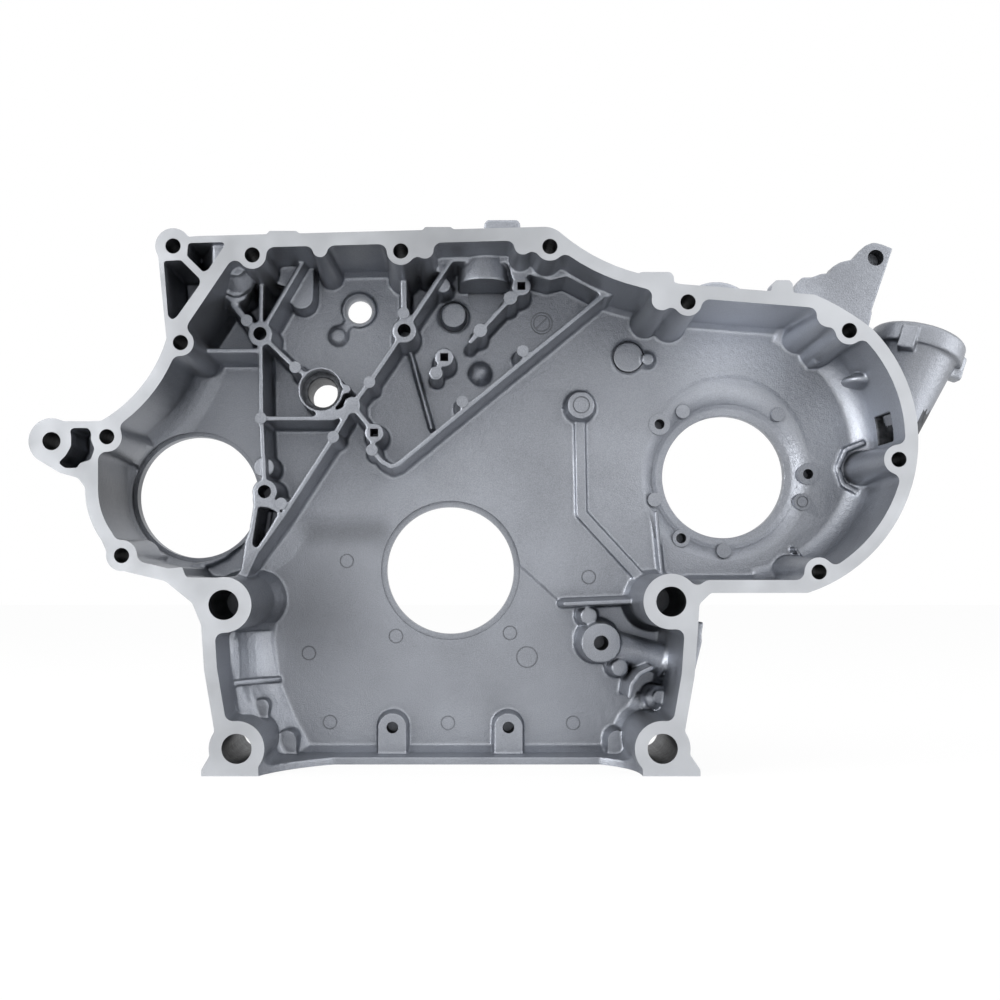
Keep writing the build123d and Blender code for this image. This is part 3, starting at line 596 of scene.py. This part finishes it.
def pump_tabs(bm):
    """The pads of the tapped holes and the ejector pads at the edge of the funnel."""
    for place, radius in TAPPED:
        disc(bm, place, radius, 67.2, 77)
    for place, radius in PUMP_PADS:
        cone(bm, place, radius, radius + 0.5, 67.1, 77)


def rib_pads(bm):
    """The crisp ejector pads on top of the ribs."""
    for place, radius in RIB_PADS:
        disc(bm, place, radius, 32.3, 38)


def drilled(bm):
    """Round holes and the square sockets."""
    for place, _ in BOLTS:
        disc(bm, place, BOLT_HOLE, AHEAD, BEYOND, 40)
    for place, radius, near, far in HOLES:
        disc(bm, place, radius, near + AHEAD, far)
    for place, _ in TAPPED:
        disc(bm, place, *TAP)
    for x, z in SQUARES:
        left, right, low, high = x - SOCKET, x + SOCKET, z - SOCKET, z + SOCKET
        prism(bm, [(left, low), (right, low), (right, high), (left, high)], 20, 60)


def ring_boss(bm):
    """The hole of the ring boss, and the stepped hole in the floor."""
    disc(bm, RING, RING_HOLE, 40, BEYOND)
    lathe(bm, FLOOR_HOLE, FLOOR_STEPS, MORE_SIDES)


def ring_mouth(bm):
    """The wider mouth of the ring boss."""
    disc(bm, RING, RING_MOUTH, 20, MOUTH_FLOOR, 96)


def ring_slot(bm):
    """The short slot in the side of the mouth."""
    ridges(bm, [(-75, 117), (-71.4, 117)], (4.4, 4.4), (20, MOUTH_FLOOR))


def thin_rings(bm):
    """Thin rings of the ejector pads and the date insert, and of two round bosses."""
    for place, radius in MARKS:
        groove(bm, place, radius, 60, FLOOR + RING_DEPTH)
    for place, radius in UPPER_MARKS:
        groove(bm, place, radius, 62, UPPER_FLOOR + RING_DEPTH)
    groove(bm, RINGED_PAD, 4.0, 60, 67.9)
    groove(bm, RINGED_BOSS, 5.8, 50, 55.8)


def date_slot(bm):
    """The slot of the date insert, and the shallow round recess under the barrel."""
    ridges(bm, [(57.8, 163.2), (65.2, 170.2)], (1.2, 1.2), (62, UPPER_FLOOR + RING_DEPTH))
    disc(bm, (24, 185.1), 12.2, UPPER_FLOOR - 0.6, UPPER_FLOOR + 0.9, MORE_SIDES)


casting = casting_blank()
rough_out(casting)
for stage in (gasket_plane, sump_plane, bores, recesses):
    cut(casting, stage)
cut(casting, pump_tabs, "UNION")
cut(casting, rib_pads, "UNION")
for stage in (drilled, ring_boss, ring_mouth, ring_slot, thin_rings, date_slot):
    cut(casting, stage)


def node(tree, kind, inputs, **settings):
    """A shader node with its inputs set from numbers or from other nodes' outputs."""
    made = tree.nodes.new("ShaderNode" + kind)
    for key, value in settings.items():
        setattr(made, key, value)
    for key, value in inputs.items():
        if isinstance(value, bpy.types.NodeSocket):
            tree.links.new(value, made.inputs[key])
        else:
            made.inputs[key].default_value = value
    return made


def shader(name, colour, roughness, metallic):
    """A new material with its surface node."""
    material = bpy.data.materials.new(name)
    material.use_nodes = True
    surface = material.node_tree.nodes["Principled BSDF"]
    surface.inputs["Base Color"].default_value = (*colour, 1)
    surface.inputs["Roughness"].default_value = roughness
    surface.inputs["Metallic"].default_value = metallic
    return material, material.node_tree, surface


def scaled(tone, share):
    """A socket's colour at a share of a tone."""
    return (*[share * c for c in tone], 1)


def noise(tree, place, scale, detail=2.0, roughness=0.5):
    """Soft noise over the object, scale in waves a metre."""
    inputs = {"Vector": place, "Scale": scale, "Detail": detail, "Roughness": roughness}
    return node(tree, "TexNoise", inputs).outputs["Fac"]


def spread(tree, value, low, high, start=0.3, end=0.7):
    """Maps the middle of a noise to a range."""
    inputs = {"Value": value, "From Min": start, "From Max": end, "To Min": low, "To Max": high}
    return node(tree, "MapRange", inputs).outputs["Result"]


def with_painted_light_and_shade(tree, colour, painted_spots, corner_shade):
    """The colour with broad spots of painted light and shade, and in the given measure with painted shade in
    corners and grooves.
    """
    place = node(tree, "TexCoord", {}).outputs["Object"]
    flat = node(tree, "VectorMath", {0: place, 1: (1, 0, 1)}, operation="MULTIPLY").outputs[0]
    # Painted shade: the colour darkens where ambient occlusion finds corners and grooves
    shade = node(tree, "AmbientOcclusion", {"Distance": 5 * MM}, samples=4, only_local=True).outputs["AO"]
    amount = spread(tree, shade, 1 - corner_shade, 1.0, 0.35, 0.85)
    # Broad spots of painted light and shade
    for x, z, reach, share in painted_spots:
        middle = (x * MM, 0, z * MM)
        away = node(tree, "VectorMath", {0: flat, 1: middle}, operation="DISTANCE").outputs["Value"]
        ranges = {"Value": away, "From Max": reach * MM, "To Min": share, "To Max": 1.0}
        fade = node(tree, "MapRange", ranges, interpolation_type="SMOOTHSTEP").outputs["Result"]
        amount = node(tree, "Math", {0: amount, 1: fade}, operation="MULTIPLY").outputs[0]
    return node(tree, "VectorMath", {"Vector": colour, "Scale": amount}, operation="SCALE").outputs[0]


def cast_aluminium():
    """Die-cast skin: fine grain, soft dapples, clouds of tone and gloss, and painted light and shade in
    broad spots and in corners and grooves.
    """
    material, tree, surface = shader("cast_aluminium", CAST_TONE, 0.45, 1.0)
    place = node(tree, "TexCoord", {}).outputs["Object"]
    grain = noise(tree, place, 1500.0, 2.0)
    dapple = noise(tree, place, 300.0, 3.0)
    cloud = noise(tree, place, 22.0, 4.0, 0.6)
    tone = node(tree, "MixRGB", {"Fac": spread(tree, cloud, 0.0, 1.0),
                                 "Color1": scaled(CAST_TONE, 0.87),
                                 "Color2": scaled(CAST_TONE, 1.11)})
    speck = node(tree, "MixRGB", {"Fac": spread(tree, grain, 0.0, 0.36), "Color1": tone.outputs[0],
                                  "Color2": scaled(CAST_TONE, 1.75)})
    # Broad spots of painted light and shade, and painted shade in corners and grooves
    tree.links.new(with_painted_light_and_shade(tree, speck.outputs[0], SKIN_LIGHT_AND_SHADE, 0.35), surface.inputs["Base Color"])
    tree.links.new(spread(tree, cloud, 0.36, 0.52), surface.inputs["Roughness"])
    fine = node(tree, "Bump", {"Strength": 0.6, "Distance": 0.0004, "Height": grain})
    soft = node(tree, "Bump", {"Strength": 0.30, "Distance": 0.0009, "Height": dapple,
                               "Normal": fine.outputs[0]})
    tree.links.new(soft.outputs[0], surface.inputs["Normal"])
    return material


def machined_aluminium():
    """Milled faces: bright, with faint tool marks, small dull patches and broad spots of painted light and
    shade.
    """
    material, tree, surface = shader("machined_aluminium", MILLED_TONE, 0.4, 1.0)
    place = node(tree, "TexCoord", {}).outputs["Object"]
    along = node(tree, "Mapping", {"Vector": place, "Scale": (0.08, 1.0, 1.0)})
    marks = noise(tree, along.outputs[0], 2200.0, 2.0)
    cloud = noise(tree, place, 40.0, 3.0)
    tone = node(tree, "MixRGB", {"Fac": spread(tree, cloud, 0.0, 1.0),
                                 "Color1": scaled(MILLED_TONE, 0.93),
                                 "Color2": scaled(MILLED_TONE, 1.04)})
    # Broad spots of painted light and shade on the milled faces
    tree.links.new(with_painted_light_and_shade(tree, tone.outputs[0], FACE_LIGHT_AND_SHADE, 0.0), surface.inputs["Base Color"])
    tree.links.new(spread(tree, cloud, 0.36, 0.5), surface.inputs["Roughness"])
    bump = node(tree, "Bump", {"Strength": 0.12, "Distance": 0.0001, "Height": marks})
    tree.links.new(bump.outputs[0], surface.inputs["Normal"])
    return material


def hole_shade_aluminium():
    """Walls of the drilled holes, the ring's mouth and the window's passage: painted dark as shade, with
    rough feed marks.
    """
    material, tree, surface = shader("hole_shade_aluminium", HOLE_SHADE_TONE, 0.5, 1.0)
    place = node(tree, "TexCoord", {}).outputs["Object"]
    rings = node(tree, "Mapping", {"Vector": place, "Scale": (0.3, 1.0, 0.3)})
    marks = noise(tree, rings.outputs[0], 900.0, 3.0)
    blotch = noise(tree, place, 260.0, 3.0)
    tone = node(tree, "MixRGB", {"Fac": spread(tree, blotch, 0.0, 1.0),
                                 "Color1": scaled(HOLE_SHADE_TONE, 0.6),
                                 "Color2": scaled(HOLE_SHADE_TONE, 1.7)})
    tree.links.new(tone.outputs[0], surface.inputs["Base Color"])
    bump = node(tree, "Bump", {"Strength": 0.4, "Distance": 0.0003, "Height": marks})
    tree.links.new(bump.outputs[0], surface.inputs["Normal"])
    return material


def face_values(mesh, name):
    """The centre or normal of every face, a row each."""
    values = np.empty(len(mesh.polygons) * 3)
    mesh.polygons.foreach_get(name, values)
    return values.reshape(-1, 3)


def finishes(mesh):
    """Which material each face has: milled planes; the walls of holes, the ring's mouth and the window's
    passage, which get the dark material of painted shade; or bare skin.
    """
    centres = face_values(mesh, "center")
    depths = centres[:, 1] / MM + SEAL_FACE
    places = centres[:, [0, 2]] / MM
    milled = np.abs(depths) < 0.02
    milled |= np.abs(places[:, 1] - SUMP_FACE) < 0.02
    kinds = np.where(milled, MILLED, CAST).astype(np.int32)
    upright = np.abs(face_values(mesh, "normal")[:, 1]) < 0.5
    walls = [(place, BOLT_HOLE, 0, 100) for place, _ in BOLTS] + HOLES
    walls += [(place, *TAP) for place, _ in TAPPED]
    for place, radius, near, far in walls:
        inside = np.hypot(*(places - place).T) < radius + 0.15
        kinds[inside & upright & (depths > near + 0.05) & (depths < far + 0.2)] = HOLE_SHADE
    # The ring boss's mouth, its floor too, gets the dark material of painted shade
    inside = np.hypot(*(places - RING).T) < RING_MOUTH - 0.3
    kinds[inside & (depths > RIBS + 1) & (depths < FLOOR)] = HOLE_SHADE
    # The window's passage gets the dark material of painted shade
    passage = (places[:, 0] > WINDOW_SHADE[0]) & (np.abs(places[:, 1] - WINDOW_SHADE[1]) < WINDOW_SHADE[2])
    kinds[passage & (depths > WINDOW_SHADE_DEPTHS[0]) & (depths < WINDOW_SHADE_DEPTHS[1])] = HOLE_SHADE
    return kinds


skin = casting.data
skin.materials.clear()
for made in (cast_aluminium(), machined_aluminium(), hole_shade_aluminium()):
    skin.materials.append(made)
skin.polygons.foreach_set("material_index", finishes(skin))
skin.shade_smooth()
skin.set_sharp_from_angle(angle=math.radians(SHARP))

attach(casting, "root")
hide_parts("timing_cover")


# The stage: camera, floor and light

camera = bpy.data.cameras.new("camera")
camera.sensor_width = SENSOR
camera.lens = SENSOR * EYE_DISTANCE / FRAME_WIDTH
camera.shift_x, camera.shift_y = SHIFT
eye = bpy.data.objects.new("camera", camera)
eye.location = point(EYE[0], -EYE_DISTANCE, EYE[1])
eye.rotation_euler = (math.radians(90), 0, 0)
bpy.context.scene.collection.objects.link(eye)
bpy.context.scene.camera = eye


def floor_mesh(bm):
    """A square plane that the sump face stands on."""
    corners = [(-FLOOR_REACH, -FLOOR_REACH), (FLOOR_REACH, -FLOOR_REACH), (FLOOR_REACH, FLOOR_REACH),
               (-FLOOR_REACH, FLOOR_REACH)]
    bm.faces.new([bm.verts.new((x, y, SUMP_FACE * MM)) for x, y in corners])


floor = mesh_object("floor", floor_mesh)


def seen(tree, names):
    """1 for the given kinds of ray, else 0."""
    path = node(tree, "LightPath", {})
    value = path.outputs[names[0]]
    for name in names[1:]:
        value = node(tree, "Math", {0: value, 1: path.outputs[name]}, operation="MAXIMUM").outputs[0]
    return value


def pale_floor():
    """Matt pale floor that reads as white in the picture, with a soft share of its shadow left."""
    material, tree, surface = shader("pale_floor", (0.85, 0.85, 0.85), 0.9, 0.0)
    grain = noise(tree, node(tree, "TexCoord", {}).outputs["Object"], 60.0, 3.0)
    bump = node(tree, "Bump", {"Strength": 0.05, "Distance": 0.001, "Height": grain})
    tree.links.new(bump.outputs[0], surface.inputs["Normal"])
    white = node(tree, "Emission", {"Color": (1, 1, 1, 1), "Strength": 1.0})
    share = node(tree, "Math", {0: seen(tree, ["Is Camera Ray"]), 1: FLOOR_WHITE}, operation="MULTIPLY")
    mixed = node(tree, "MixShader", {"Fac": share.outputs[0], 1: surface.outputs[0], 2: white.outputs[0]})
    tree.links.new(mixed.outputs[0], tree.nodes["Material Output"].inputs["Surface"])
    return material


floor.data.materials.append(pale_floor())


def studio_world():
    """White backdrop, and a plain level of light from all round."""
    world = bpy.data.worlds.new("studio")
    world.use_nodes = True
    tree = world.node_tree
    ambient = tree.nodes["Background"]
    ambient.inputs["Color"].default_value = (1, 1, 1, 1)
    ambient.inputs["Strength"].default_value = AMBIENT
    white = node(tree, "Background", {"Color": (1, 1, 1, 1), "Strength": 1.0})
    rays = seen(tree, ["Is Camera Ray", "Is Glossy Ray", "Is Transmission Ray"])
    mixed = node(tree, "MixShader", {"Fac": rays, 1: ambient.outputs[0], 2: white.outputs[0]})
    tree.links.new(mixed.outputs[0], tree.nodes["World Output"].inputs["Surface"])
    return world


def lamp(turn, off, distance, size, watts):
    """A square soft lamp: turned clockwise from above as the camera sees it, and off the camera's axis."""
    turn, off = math.radians(turn), math.radians(off)
    away = Vector((math.sin(turn) * math.sin(off), -math.cos(off), math.cos(turn) * math.sin(off)))
    data = bpy.data.lights.new("lamp", "AREA")
    data.shape = "SQUARE"
    data.size = size
    data.energy = watts
    made = bpy.data.objects.new("lamp", data)
    made.location = LAMP_AIM + away * distance
    made.rotation_euler = (-away).to_track_quat("-Z", "Y").to_euler()
    bpy.context.scene.collection.objects.link(made)


bpy.context.scene.world = studio_world()
for settings in LAMPS:
    lamp(*settings)

bpy.context.scene.view_settings.view_transform = "Standard"
